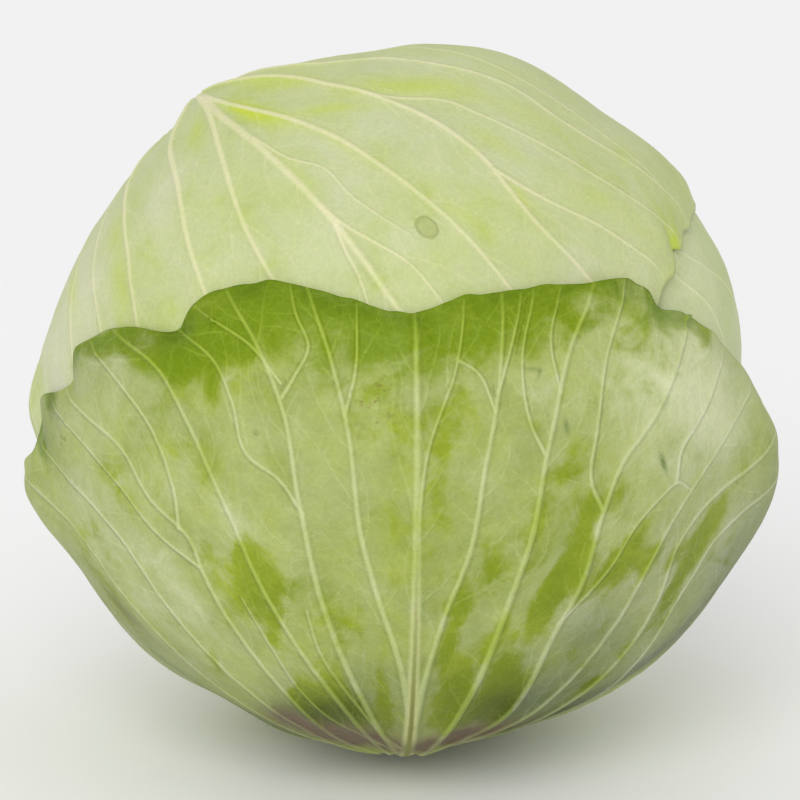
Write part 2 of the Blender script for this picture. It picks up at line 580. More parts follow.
class VeinNet:
    """The veins of one leaf on its plan, kept as chains, with a grid to find what is near."""

    CELL = 1.0

    def __init__(self, leaf):
        self.leaf = leaf
        self.chains = []
        self.cells = {}

    def add(self, points, widths, show, order):
        """Adds a chain: its points, its half widths from start to end in mm, and its strength."""
        room = self.room(points)
        if 0 < room[-1] < RUN_ON:  # a vein that ends near the margin runs on to it
            way = points[-1] - points[-4]
            steps = np.arange(1, int(2 * RUN_ON / VEIN_STEP))[:, None]
            points = np.concatenate([points, points[-1] + steps * way / 3])
            room = self.room(points)
        points = points[int(np.argmax(room > 0)):]
        outside = self.room(points) <= 0
        if outside.any():
            points = points[:int(np.argmax(outside))]
        if len(points) < 3:
            return
        number = len(self.chains)
        along = np.linspace(0, 1, len(points))
        half = mix(widths[0], widths[1], along**0.65)
        show = show * (1 - 0.6 * (1 - smooth(self.room(points), 0, FADE))) * mix(1, 0.8, along)
        self.chains.append({"points": points, "half": half, "show": show, "order": order})
        for x, y in points:
            key = (int(x // self.CELL), int(y // self.CELL))
            self.cells.setdefault(key, []).append((x, y, number))

    def room(self, points):
        """Degrees from each point out to the margin."""
        bearing = np.degrees(np.arctan2(points[:, 0], points[:, 1]))
        return self.leaf.margin(bearing) - np.hypot(points[:, 0], points[:, 1])

    def blocked(self, x, y, parent):
        cx, cy = int(x // self.CELL), int(y // self.CELL)
        for kx in (cx - 1, cx, cx + 1):
            for ky in (cy - 1, cy, cy + 1):
                for px, py, number in self.cells.get((kx, ky), ()):
                    if number != parent and (px - x) ** 2 + (py - y) ** 2 < MEETING**2:
                        return px, py
        return None

    def grow(self, rule, order):
        """Branches off every chain there is, on both sides, each running until it meets another."""
        pick = self.leaf.random
        for number, chain in enumerate(list(self.chains)):
            points = chain["points"]
            run = pick.uniform(0.3, 1) * rule["every"]
            side = pick.choice((-1, 1))
            for i in range(2, len(points) - 1):
                run -= VEIN_STEP
                if run > 0:
                    continue
                run = rule["every"] * pick.uniform(0.35, 0.75)
                side = -side
                way = points[i + 1] - points[i - 1]
                heading = math.atan2(way[1], way[0])
                heading += side * math.radians(rule["angle"] * pick.uniform(0.7, 1.35))
                self.branch(points[i], heading, -side, number, rule, order)

    def branch(self, start, heading, bend, parent, rule, order):
        pick = self.leaf.random
        x, y = start
        grown = [(x, y)]
        limit = int(rule["length"] * pick.uniform(0.5, 1.2) / VEIN_STEP)
        curl = bend * math.radians(pick.uniform(0.2, 1.3))
        for step in range(limit):
            if step and step % 9 == 0:
                heading += math.radians(pick.uniform(-16, 16))
            heading += curl + math.radians(pick.gauss(0, 4.5))
            x += VEIN_STEP * math.cos(heading)
            y += VEIN_STEP * math.sin(heading)
            bearing = math.degrees(math.atan2(x, y))
            if math.hypot(x, y) > self.leaf.margin(np.array([bearing]))[0] - 0.4:
                break
            met = self.blocked(x, y, parent if step < 4 else -1)
            if met and step >= 2:
                grown.append(met)
                break
            grown.append((x, y))
        if len(grown) > 3:
            self.add(np.array(grown), rule["widths"], rule["show"], order)


def leaf_veins(leaf):
    net = VeinNet(leaf)
    spec = leaf.spec
    net.add(curve_through(leaf.midrib, VEIN_STEP), spec["midrib_width"], 1, 0)

    listed = list(spec.get("ribs", ())) + fan_ribs(leaf, spec.get("fan", 0))
    for wide, narrow, points in listed:
        net.add(curve_through(points, VEIN_STEP), (wide, narrow), 1, 1)
    for wide, narrow, points in spec.get("forks", ()):
        net.add(curve_through(points, VEIN_STEP), (wide, narrow), 0.95, 2)
    for order, rule in enumerate(GROWTH, start=3):
        net.grow(rule, order)
    return net


def nearest_vein(head, leaf, chains, points):
    """For each point: the way to the nearest vein, its distance, half width and strength."""
    if not chains:
        nothing = np.zeros(len(points))
        return np.full((len(points), 3), FAR_AWAY), nothing + FAR_AWAY, nothing, nothing
    spots, tangents, halves, shows, ends = [], [], [], [], []
    for chain in chains:
        d = leaf.directions(chain["points"])
        p = head.points(d, head.leaf_radius(leaf, d))
        t = np.gradient(p, axis=0)
        t /= np.maximum(np.linalg.norm(t, axis=1), 1e-9)[:, None]
        end = np.zeros(len(p))
        end[0], end[-1] = -1, 1
        spots.append(p)
        tangents.append(t)
        halves.append(chain["half"])
        shows.append(chain["show"])
        ends.append(end)
    spots, tangents = np.concatenate(spots), np.concatenate(tangents)
    halves, shows, ends = map(np.concatenate, (halves, shows, ends))
    tree = kdtree.KDTree(len(spots))
    for i, p in enumerate(spots):
        tree.insert(p, i)
    tree.balance()
    near = np.array([tree.find(p)[1] for p in points.tolist()])
    way = spots[near] - points
    lengthwise = np.einsum("ij,ij->i", way, tangents[near])
    keep = ends[near] * lengthwise < 0  # past a vein's end its full distance counts
    way -= np.where(keep, 0, lengthwise)[:, None] * tangents[near]
    return way, np.linalg.norm(way, axis=1), halves[near], shows[near]


# ---------------------------------------------------------------------------------------------
# Leaf meshes

RIPPLE_TURNS = (17, 29, 43, 67)
RIPPLE_DEGREES = (0.09, 0.09, 0.08, 0.05)
BLADE_THICKNESS = 1.0
MARGIN_THICKNESS = 0.5
MARGIN_FADE = 9
TUCK = 1.6  # how far the margin leans in toward the leaf under it
TUCK_FADE = 8
VEIN_SETS = ("midrib", "rib", "fork", "vein")
MARKS = ("wax", "fresh", "rub", "blush", "dusk", "pallor", "yellow", "specks", "nicks",
         "scar", "verge")
CREST_HEIGHT = 0.75  # of a vein's half width
CREST_WIDTH = 1.25
FOOT_HEIGHT = 0.55  # the blade swells gently toward each main vein
FOOT_WIDTH = 2.6
FOOT_LEAST = 0.3
MIDRIB_RELIEF = 0.4  # the rest of the midrib's height is in the blade itself
FAN_RADIUS = 70
FAN_STRETCH = 0.42
RUFFLE_FADE = 15
VERGE = 9  # width of the darkest green along the tip
RELIEF_LEAST = 0.45  # a vein narrower than this has its relief from the material alone
INNER_STRIDE = 4
SIDE_BLOOM = (18, 52)  # degrees from the midrib, over which bloom goes to its side amount
EDGE_BLOOM = (58, 74)  # and over which it thins again by EDGE_THINNING
EDGE_THINNING = 0.3
PUCKER_EDGE = (1, 6)  # mm from the margin, over which the puckers begin
CLASP = (12, 30)  # degrees from the stalk, over which a margin's ripple begins
INSIDE_WAX = 0.6  # bloom on the inner skin of every leaf
FLOW_STEP = 40.0  # mm between the bloom patterns of two leaves


def ring_start(ring):
    return 1 + 4 * ring * (ring - 1) if ring else 0


def ring_faces(rings):
    """Faces over concentric rings, in which ring i has 8 i points."""
    faces = []
    for ring in range(rings):
        octant, k = np.meshgrid(np.arange(8), np.arange(ring + 1), indexing="ij")
        inner_count, outer_count = max(8 * ring, 1), 8 * (ring + 1)
        inner = ring_start(ring) + (octant * ring + k) % inner_count
        ahead = ring_start(ring) + (octant * ring + k + 1) % inner_count
        outer = ring_start(ring + 1) + (octant * (ring + 1) + k) % outer_count
        after = ring_start(ring + 1) + (octant * (ring + 1) + k + 1) % outer_count
        faces.append(np.stack([inner, after, outer], axis=-1).reshape(-1, 3))
        if ring:
            part = np.stack([inner, ahead, after], axis=-1)[:, :ring]
            faces.append(part.reshape(-1, 3))
    return np.concatenate(faces)


def ring_plan(leaf, rings, ripple):
    """Points of the plan over the rings, the outermost one on the rippled margin."""
    plan = [np.zeros((1, 2))]
    for ring in range(1, rings + 1):
        bearing = 360 * np.arange(8 * ring) / (8 * ring) - 180
        reach = (leaf.margin(bearing) + ripple(bearing)) * ring / rings
        b = np.radians(bearing)
        plan.append(np.stack([reach * np.sin(b), reach * np.cos(b)], axis=1))
    return np.concatenate(plan)


def ruffle(leaf, bearing, part):
    """Lobes of a margin: part 0 is their change of reach in degrees, part 1 their lift in mm."""
    total = np.zeros(len(bearing))
    for at, width, *parts in leaf.spec.get("ruffles", ()):
        total += parts[part] * np.exp(-((bearing - at) / width) ** 2)
    return total


def margin_ripple(leaf):
    """Fine unevenness of a margin, left out where the base clasps the stalk."""
    phases = [leaf.random.uniform(0, 2 * math.pi) for _ in RIPPLE_TURNS]
    stalk, _ = leaf.polar(np.array([[0, 0, -1.0]]))

    def ripple(bearing):
        b = np.radians(bearing)
        wave = sum(size * np.sin(turns * b + phase)
                   for size, turns, phase in zip(RIPPLE_DEGREES, RIPPLE_TURNS, phases))
        away = np.abs((bearing - stalk[0] + 180) % 360 - 180)
        return wave * smooth(away, *CLASP) + ruffle(leaf, bearing, 0)

    return ripple


def leaf_mesh(head, leaf):
    """The leaf as two skins joined at the margin, with its vein and mark attributes."""
    rings = leaf.spec["rings"]
    ripple = margin_ripple(leaf)
    plan = ring_plan(leaf, rings, ripple)
    d = leaf.directions(plan)
    bearing, reach = leaf.polar(d)
    edge_mm = (leaf.margin(bearing) + ripple(bearing) - reach) * DEGREE
    slope = np.interp(bearing, leaf.BEARINGS, leaf.slope_table)
    edge_mm = edge_mm / np.hypot(1, slope / np.sin(np.radians(leaf.margin(bearing))))
    radius = head.leaf_radius(leaf, d) - TUCK * (1 - smooth(edge_mm, 0, TUCK_FADE))
    radius += ruffle(leaf, bearing, 1) * (1 - smooth(edge_mm, 0, RUFFLE_FADE))
    outer = head.points(d, radius)

    inner_rings = rings // INNER_STRIDE
    picked = np.concatenate([[0]] + [
        ring_start(r * INNER_STRIDE) + np.arange(8 * r) * INNER_STRIDE
        for r in range(1, inner_rings + 1)
    ])
    thick = mix(MARGIN_THICKNESS, BLADE_THICKNESS, smooth(edge_mm[picked], 0, MARGIN_FADE))
    inner = head.points(d[picked], radius[picked] - thick)

    count = len(outer)
    outer_faces = ring_faces(rings)
    inner_faces = ring_faces(inner_rings)[:, ::-1] + count
    k = np.arange(8 * rings)
    a = ring_start(rings) + k
    b = ring_start(rings) + (k + 1) % (8 * rings)
    low = count + ring_start(inner_rings) + (
        (k + INNER_STRIDE // 2) // INNER_STRIDE) % (8 * inner_rings)
    rim = np.stack([a, b, low], axis=1)
    j = np.arange(8 * inner_rings)
    first = count + ring_start(inner_rings) + j
    second = count + ring_start(inner_rings) + (j + 1) % (8 * inner_rings)
    middle = ring_start(rings) + j * INNER_STRIDE + INNER_STRIDE // 2
    rim2 = np.stack([first, middle, second], axis=1)
    points = np.concatenate([outer, inner])
    faces = np.concatenate([outer_faces, inner_faces, rim, rim2])

    mesh = bpy.data.meshes.new(leaf.name)
    mesh.from_pydata((points * MM).tolist(), [], faces.tolist())
    mesh.update()

    net = leaf_veins(leaf)
    plain = head.points(d, head.leaf_radius(leaf, d))
    far = len(inner)
    rise = np.zeros(count)
    for order, label in enumerate(VEIN_SETS):
        chains = [c for c in net.chains if min(c["order"], 3) == order]
        found = nearest_vein(head, leaf, chains, plain)
        add_vein_attributes(mesh, label, found, far)
        if label != "vein":
            _, distance, half, show = found
            spread = np.maximum(CREST_WIDTH * half, 1e-9)
            crest = CREST_HEIGHT * half * np.exp(-(distance / spread) ** 2)
            foot = FOOT_HEIGHT * np.exp(-(distance / FOOT_WIDTH) ** 2)
            height = show * (crest * smooth(half, RELIEF_LEAST, 1.0)
                             + foot * smooth(half, FOOT_LEAST, 1))
            height *= MIDRIB_RELIEF if label == "midrib" else 1
            rise = np.maximum(rise, height)
    add_attribute(mesh, "rise", "FLOAT", np.concatenate([rise * MM, np.zeros(far)]))
    add_attribute(mesh, "outward", "FLOAT_VECTOR", np.concatenate([d, d[picked]]))
    for label, values in skin_marks(leaf, plan, bearing, edge_mm).items():
        spare = INSIDE_WAX if label == "wax" else 0
        add_attribute(mesh, label, "FLOAT", np.concatenate([values, np.full(far, spare)]))
    add_attribute(mesh, "flow", "FLOAT_VECTOR",
                  np.concatenate([fan_flow(leaf, plan), np.zeros((far, 3))]))
    return mesh


def fan_flow(leaf, plan):
    """Coordinates that follow the fan of ribs, in metres, so that the bloom lies in streaks."""
    x, y = leaf.spec["fan_point"]
    dx, dy = plan[:, 0] - x, plan[:, 1] - y
    across = np.arctan2(dx, dy) * FAN_RADIUS
    along = np.hypot(dx, dy) * DEGREE * FAN_STRETCH
    return np.stack([across, along, np.full(len(plan), FLOW_STEP * leaf.index)], axis=1) * MM


def skin_marks(leaf, plan, bearing, edge_mm):
    """How much of each mark lies at each point: soft patches, and a band along the tip."""
    spec = leaf.spec
    marks = {kind: np.zeros(len(plan)) for kind in MARKS}
    for kind, places in spec.get("marks", {}).items():
        for x, y, long, short, heading, amount in places:
            b = math.radians(heading)
            dx, dy = plan[:, 0] - x, plan[:, 1] - y
            lengthwise = (dx * math.sin(b) + dy * math.cos(b)) / long
            across = (dx * math.cos(b) - dy * math.sin(b)) / short
            marks[kind] += amount * np.exp(-(lengthwise**2 + across**2))
    aside = np.abs(plan[:, 0])
    waxy = spec.get("wax", (0.6, 0.6))
    marks["wax"] += mix(*waxy, smooth(aside, *SIDE_BLOOM))
    marks["wax"] -= EDGE_THINNING * smooth(aside, *EDGE_BLOOM)
    hold, band, low, high = spec.get("fresh", (0, 1, 30, 60))
    tipward = 1 - smooth(np.abs(bearing), low, high)
    band = (1 - smooth(edge_mm, hold, band)) * tipward
    marks["fresh"] = np.clip(band + marks["fresh"], 0, 1)
    marks["verge"] = (1 - smooth(edge_mm, 0, VERGE)) * tipward * ("fresh" in spec)
    marks["blade"] = smooth(edge_mm, *PUCKER_EDGE)
    return marks


def add_attribute(mesh, name, kind, values):
    attribute = mesh.attributes.new(name, kind, "POINT")
    field = {"FLOAT": "value", "FLOAT_VECTOR": "vector", "FLOAT_COLOR": "color"}[kind]
    attribute.data.foreach_set(field, np.asarray(values, np.float32).reshape(-1))


def add_vein_attributes(mesh, name, found, spare):
    """Offset, distance, half width and strength, with spare points that are far from any vein."""
    way, distance, half, show = found
    add_attribute(mesh, name + "_way", "FLOAT_VECTOR",
                  np.concatenate([way, np.full((spare, 3), FAR_AWAY)]) * MM)
    add_attribute(mesh, name + "_distance", "FLOAT",
                  np.concatenate([distance, np.full(spare, FAR_AWAY)]) * MM)
    add_attribute(mesh, name + "_half", "FLOAT", np.concatenate([half * MM, np.zeros(spare)]))
    add_attribute(mesh, name + "_show", "FLOAT", np.concatenate([show, np.zeros(spare)]))


# ---------------------------------------------------------------------------------------------
# Geometry Nodes


def new_tree(name, inputs):
    """A geometry tree with a Geometry input and output, and further named inputs."""
    tree = bpy.data.node_groups.new(name, "GeometryNodeTree")
    tree.interface.new_socket("Geometry", in_out="INPUT", socket_type="NodeSocketGeometry")
    for label, kind, value in inputs:
        socket = tree.interface.new_socket(label, in_out="INPUT", socket_type=kind)
        if value is not None:
            socket.default_value = value
    tree.interface.new_socket("Geometry", in_out="OUTPUT", socket_type="NodeSocketGeometry")
    return tree, tree.nodes.new("NodeGroupInput"), tree.nodes.new("NodeGroupOutput")


def node(tree, kind, inputs=(), **settings):
    """Adds a node, sets its properties, and fills its inputs from values or other sockets."""
    made = tree.nodes.new(kind)
    for key, value in settings.items():
        setattr(made, key, value)
    for key, value in dict(inputs).items():
        if isinstance(value, bpy.types.NodeSocket):
            tree.links.new(value, made.inputs[key])
        else:
            made.inputs[key].default_value = value
    return made


def named(tree, name, kind="FLOAT"):
    return node(tree, "GeometryNodeInputNamedAttribute", {"Name": name}, data_type=kind).outputs[0]


def leaf_surface_tree():
    """Raises the veins and puckers the blade of a leaf, along its outward attribute."""
    tree, source, result = new_tree("Leaf surface", (
        ("Vein relief", "NodeSocketFloat", 1.0),
        ("Pucker height", "NodeSocketFloat", 0.0004),
        ("Pucker size", "NodeSocketFloat", 0.012),
        ("Seed", "NodeSocketFloat", 0.0),
        ("Material", "NodeSocketMaterial", None),
    ))
    place = node(tree, "GeometryNodeInputPosition").outputs[0]
    scale = node(tree, "ShaderNodeMath", {0: 1.0, 1: source.outputs["Pucker size"]},
                 operation="DIVIDE").outputs[0]
    puckers = node(tree, "ShaderNodeTexNoise", {
        "Vector": place, "W": source.outputs["Seed"], "Scale": scale, "Detail": 3.0,
        "Roughness": 0.55, "Distortion": 0.3,
    }, noise_dimensions="4D").outputs[0]
    centred = node(tree, "ShaderNodeMath", {0: puckers, 1: 0.5}, operation="SUBTRACT").outputs[0]
    pucker = node(tree, "ShaderNodeMath", {0: centred, 1: source.outputs["Pucker height"]},
                  operation="MULTIPLY").outputs[0]
    on_blade = node(tree, "ShaderNodeMath", {0: pucker, 1: named(tree, "blade")},
                    operation="MULTIPLY").outputs[0]
    vein = node(tree, "ShaderNodeMath", {0: named(tree, "rise"),
                1: source.outputs["Vein relief"]}, operation="MULTIPLY").outputs[0]
    height = node(tree, "ShaderNodeMath", {0: on_blade, 1: vein}, operation="ADD").outputs[0]
    offset = node(tree, "ShaderNodeVectorMath", {
        0: named(tree, "outward", "FLOAT_VECTOR"), "Scale": height}, operation="SCALE").outputs[0]
    moved = node(tree, "GeometryNodeSetPosition", {
        "Geometry": source.outputs["Geometry"], "Offset": offset}).outputs[0]
    soft = node(tree, "GeometryNodeSetShadeSmooth", {"Geometry": moved}).outputs[0]
    real = node(tree, "GeometryNodeRealizeInstances", {"Geometry": soft}).outputs[0]
    painted = node(tree, "GeometryNodeSetMaterial", {
        "Geometry": real, "Material": source.outputs["Material"]}).outputs[0]
    tree.links.new(painted, result.inputs[0])
    return tree


def grow_with(tree, obj, values):
    """Runs a geometry tree on an object, keeps the result as its plain mesh, and returns it."""
    modifier = obj.modifiers.new(tree.name, "NODES")
    modifier.node_group = tree
    for item in tree.interface.items_tree:
        if item.item_type == "SOCKET" and item.in_out == "INPUT" and item.name in values:
            modifier[item.identifier] = values[item.name]
    obj.update_tag()
    graph = bpy.context.evaluated_depsgraph_get()
    made = bpy.data.meshes.new_from_object(obj.evaluated_get(graph), depsgraph=graph)
    obj.modifiers.remove(modifier)
    old, obj.data = obj.data, made
    bpy.data.meshes.remove(old)
    made.name = obj.name
    return obj


# ---------------------------------------------------------------------------------------------
# Materials


def linear(r, g, b):
    """A colour given as a screen shows it, as the shader needs it."""
    return tuple((c / 12.92 if c <= 0.04045 else ((c + 0.055) / 1.055) ** 2.4)
                 for c in (r / 255, g / 255, b / 255)) + (1.0,)


def new_group(name, inputs, outputs):
    """A shader group with named inputs (label, kind, default) and outputs (label, kind)."""
    group = bpy.data.node_groups.new(name, "ShaderNodeTree")
    for label, kind, value in inputs:
        socket = group.interface.new_socket(label, in_out="INPUT", socket_type=kind)
        if value is not None:
            socket.default_value = value
    for label, kind in outputs:
        group.interface.new_socket(label, in_out="OUTPUT", socket_type=kind)
    return group, group.nodes.new("NodeGroupInput"), group.nodes.new("NodeGroupOutput")


def math_node(tree, operation, a, b=0.0, clamp=False):
    return node(tree, "ShaderNodeMath", {0: a, 1: b}, operation=operation,
                use_clamp=clamp).outputs[0]


def times(tree, a, b, clamp=False):
    return math_node(tree, "MULTIPLY", a, b, clamp)


def ramp(tree, value, low, high, start=0.0, end=1.0):
    """A smooth step of a value from low to high."""
    return node(tree, "ShaderNodeMapRange", {
        "Value": value, "From Min": low, "From Max": high, "To Min": start, "To Max": end,
    }, interpolation_type="SMOOTHSTEP").outputs[0]


def blend(tree, factor, a, b, mode="MIX"):
    mixed = node(tree, "ShaderNodeMix", data_type="RGBA", blend_type=mode)
    for socket, value in ((mixed.inputs[0], factor), (mixed.inputs[6], a), (mixed.inputs[7], b)):
        if isinstance(value, bpy.types.NodeSocket):
            tree.links.new(value, socket)
        else:
            socket.default_value = value
    return mixed.outputs[2]


def attribute(tree, name, output="Fac"):
    found = node(tree, "ShaderNodeAttribute", attribute_name=name, attribute_type="GEOMETRY")
    return found.outputs[output]


def vein_line_group():
    """The line of a vein from its interpolated offset, so that it stays sharp between points."""
    group, source, result = new_group("Vein line", (
        ("Way", "NodeSocketVector", None),
        ("Distance", "NodeSocketFloat", 0.05),
        ("Half width", "NodeSocketFloat", 0.0005),
        ("Softness", "NodeSocketFloat", 0.00035),
        ("Slack", "NodeSocketFloat", 0.0009),
    ), (("Line", "NodeSocketFloat"), ("Swell", "NodeSocketFloat"), ("Core", "NodeSocketFloat")))
    length = node(group, "ShaderNodeVectorMath", {0: source.outputs["Way"]},
                  operation="LENGTH").outputs["Value"]
    least = math_node(group, "SUBTRACT", source.outputs["Distance"], source.outputs["Slack"])
    away = math_node(group, "MAXIMUM", length, least)
    half = source.outputs["Half width"]
    soft = source.outputs["Softness"]
    inner = math_node(group, "SUBTRACT", half, soft)
    outer = math_node(group, "ADD", half, soft)
    line = ramp(group, away, inner, outer, 1.0, 0.0)
    wide = times(group, outer, 1.7)
    swell = ramp(group, away, 0.0, wide, 1.0, 0.0)
    core = ramp(group, away, times(group, half, 0.15), times(group, half, 0.6), 1.0, 0.0)
    group.links.new(line, result.inputs["Line"])
    group.links.new(swell, result.inputs["Swell"])
    group.links.new(core, result.inputs["Core"])
    return group


def bloom_group():
    """Where the grey waxy bloom lies on a leaf, and where handling has rubbed it off."""
    group, source, result = new_group("Waxy bloom", (
        ("Vector", "NodeSocketVector", None),
        ("Amount", "NodeSocketFloat", 0.5),
        ("Rubbed", "NodeSocketFloat", 0.0),
        ("Patch size", "NodeSocketFloat", 0.02),
    ), (("Bloom", "NodeSocketFloat"), ("Deep", "NodeSocketFloat"), ("Uneven", "NodeSocketFloat")))
    vector = source.outputs["Vector"]
    scale = math_node(group, "DIVIDE", 1.0, source.outputs["Patch size"])
    wide = node(group, "ShaderNodeTexNoise", {
        "Vector": vector, "Scale": scale, "Detail": 7.0, "Roughness": 0.66, "Distortion": 0.5,
    }).outputs[0]
    small = node(group, "ShaderNodeTexNoise", {
        "Vector": vector, "Scale": times(group, scale, 3.1), "Detail": 4.0,
        "Roughness": 0.6, "Distortion": 0.9}).outputs[0]
    wide = times(group, math_node(group, "SUBTRACT", wide, 0.5), 2.6)
    small = times(group, math_node(group, "SUBTRACT", small, 0.5), 2.0)
    uneven = math_node(group, "ADD", wide, small)
    rubbed = source.outputs["Rubbed"]
    bare = ramp(group, math_node(group, "ADD", rubbed, uneven), 0.24, 0.94)
    cloud = math_node(group, "ADD", times(group, uneven, -0.85), 0.92)
    cover = math_node(group, "SUBTRACT", 1.0, times(group, bare, 0.94))
    bloom = times(group, times(group, cloud, cover), source.outputs["Amount"], True)
    deep = times(group, bare, ramp(group, rubbed, 0.3, 1.2))
    group.links.new(bloom, result.inputs["Bloom"])
    group.links.new(deep, result.inputs["Deep"])
    group.links.new(uneven, result.inputs["Uneven"])
    return group


def tissue_group():
    """The finest net of veins, the grain of the skin, and a broad change of shade."""
    group, source, result = new_group("Leaf tissue", (
        ("Vector", "NodeSocketVector", None),
        ("Net size", "NodeSocketFloat", 0.0045),
    ), (("Net", "NodeSocketFloat"), ("Grain", "NodeSocketFloat"), ("Shade", "NodeSocketFloat"),
        ("Pucker", "NodeSocketFloat")))
    vector = source.outputs["Vector"]
    warp = node(group, "ShaderNodeTexNoise", {
        "Vector": vector, "Scale": 150.0, "Detail": 2.0}).outputs["Color"]
    shift = node(group, "ShaderNodeVectorMath", {0: warp, 1: (0.0025, 0.0025, 0.0025)},
                 operation="MULTIPLY").outputs[0]
    bent = node(group, "ShaderNodeVectorMath", {0: vector, 1: shift}, operation="ADD").outputs[0]
    scale = math_node(group, "DIVIDE", 1.0, source.outputs["Net size"])
    cells = node(group, "ShaderNodeTexVoronoi", {"Vector": bent, "Scale": scale},
                 feature="DISTANCE_TO_EDGE").outputs[0]
    net = ramp(group, cells, 0.015, 0.07, 1.0, 0.0)
    grain = node(group, "ShaderNodeTexNoise", {
        "Vector": vector, "Scale": 900.0, "Detail": 2.0, "Roughness": 0.6}).outputs[0]
    shade = node(group, "ShaderNodeTexNoise", {
        "Vector": vector, "Scale": 60.0, "Detail": 6.0, "Roughness": 0.65}).outputs[0]
    pucker = node(group, "ShaderNodeTexNoise", {
        "Vector": bent, "Scale": 190.0, "Detail": 3.0, "Roughness": 0.55}).outputs[0]
    group.links.new(pucker, result.inputs["Pucker"])
    group.links.new(net, result.inputs["Net"])
    group.links.new(grain, result.inputs["Grain"])
    group.links.new(shade, result.inputs["Shade"])
    return group


def use(tree, group, inputs):
    made = node(tree, "ShaderNodeGroup", node_tree=group)
    for key, value in inputs.items():
        if isinstance(value, bpy.types.NodeSocket):
            tree.links.new(value, made.inputs[key])
        else:
            made.inputs[key].default_value = value
    return made.outputs


def new_material(name, colour):
    material = bpy.data.materials.new(name)
    material.use_nodes = True
    material.diffuse_color = colour
    tree = material.node_tree
    return material, tree, tree.nodes["Principled BSDF"]


def vein_line(tree, groups, label, softness):
    return use(tree, groups["line"], {
        "Way": attribute(tree, label + "_way", "Vector"),
        "Distance": attribute(tree, label + "_distance"),
        "Half width": attribute(tree, label + "_half"), "Softness": softness})


# How strongly the layers of a leaf's skin show, as shares of 1.
RUBBED_GREEN = 0.32  # the deep green where the bloom is rubbed off
BAND_BREAK = 0.75  # how far uneven bloom breaks up the green band
YELLOW_MOST = 0.7
SHADE_MOST = 0.75  # of dusk and of blush
VEIN_SHADE = 0.6  # of the skin's dusk and blush, on its veins
SPECK_SHOW = 0.6
NICK_SHOW = 0.85
SCAR_SHOW = 0.42
SCAR_RING_SHOW = 0.2
GRAIN_RANGE = (0.96, 1.04)
VEIN_SOFTNESS = (0.0006, 0.0004, 0.0003, 0.00022)  # metres, for each of VEIN_SETS

SPECK = linear(112, 96, 30)
NICK = linear(66, 100, 26)
SCAR = linear(150, 160, 84)
SCAR_RING = linear(120, 128, 60)


def blade_skin(tree, tissue, wax, look):
    """The skin between the veins, with the layers of it that tint the veins too."""
    shade = ramp(tree, tissue["Shade"], 0.32, 0.68)
    skin = blend(tree, shade, look["deep"], look["blade"])

    band = attribute(tree, "fresh")
    broken = math_node(tree, "ADD", band, times(tree, wax["Uneven"], BAND_BREAK))
    band = times(tree, ramp(tree, broken, -0.15, 1.1), ramp(tree, band, 0.0, 0.4))
    fresh = math_node(tree, "MAXIMUM", band, times(tree, wax["Deep"], RUBBED_GREEN))
    fresh = times(tree, fresh, look["fresh_show"])
    skin = blend(tree, fresh, skin, look["fresh"])
    verge = times(tree, attribute(tree, "verge"), ramp(tree, wax["Uneven"], -0.4, 0.4, 0.2, 1.0))
    skin = blend(tree, verge, skin, look["verge"], "MULTIPLY")

    waxed = times(tree, wax["Bloom"], look["bloom_cover"])
    waxed = times(tree, waxed, ramp(tree, fresh, 0.0, 0.85, 1.0, 0.0))
    skin = blend(tree, waxed, skin, look["bloom"])
    pallor = times(tree, attribute(tree, "pallor"), wax["Bloom"], True)
    skin = blend(tree, pallor, skin, look["pallor"])
    yellow = times(tree, attribute(tree, "yellow"), YELLOW_MOST, True)
    skin = blend(tree, yellow, skin, look["yellow"])

    dusk = times(tree, attribute(tree, "dusk"), SHADE_MOST, True)
    dim = blend(tree, wax["Deep"], look["dusk"], look["bare_dusk"])
    skin = blend(tree, dusk, skin, dim, "MULTIPLY")
    blush = times(tree, attribute(tree, "blush"), SHADE_MOST, True)
    skin = blend(tree, blush, skin, look["blush"])
    return skin, {"fresh": fresh, "waxed": waxed, "dusk": dusk, "blush": blush}


def draw_veins(tree, skin, layers, lines, tissue, look):
    """The net and the veins over the skin, each tinted by the skin that it crosses."""
    pale = blend(tree, layers["fresh"], look["bare_vein"], look["vein"])
    pale = blend(tree, layers["waxed"], pale, look["waxed_vein"])
    pale = blend(tree, times(tree, layers["dusk"], VEIN_SHADE), pale, look["dusk"], "MULTIPLY")
    pale = blend(tree, times(tree, layers["blush"], VEIN_SHADE), pale, look["blush"])
    skin = blend(tree, times(tree, tissue["Net"], look["net_show"]), skin, pale)
    for label in reversed(VEIN_SETS):
        share = look["vein_show" if label == "vein" else "rib_show"]
        drawn = times(tree, lines[label]["Line"], attribute(tree, label + "_show"))
        skin = blend(tree, times(tree, drawn, share), skin, pale)

    half = attribute(tree, "midrib_half")
    thick = times(tree, ramp(tree, half, 0.0007, 0.002), drawn)
    thick = times(tree, thick, math_node(tree, "SUBTRACT", 1.0, layers["blush"]))
    skin = blend(tree, thick, skin, look["rib"])
    middle = times(tree, lines["midrib"]["Core"], ramp(tree, half, 0.0008, 0.0017, 0.0, 0.95))
    return blend(tree, middle, skin, look["core"])


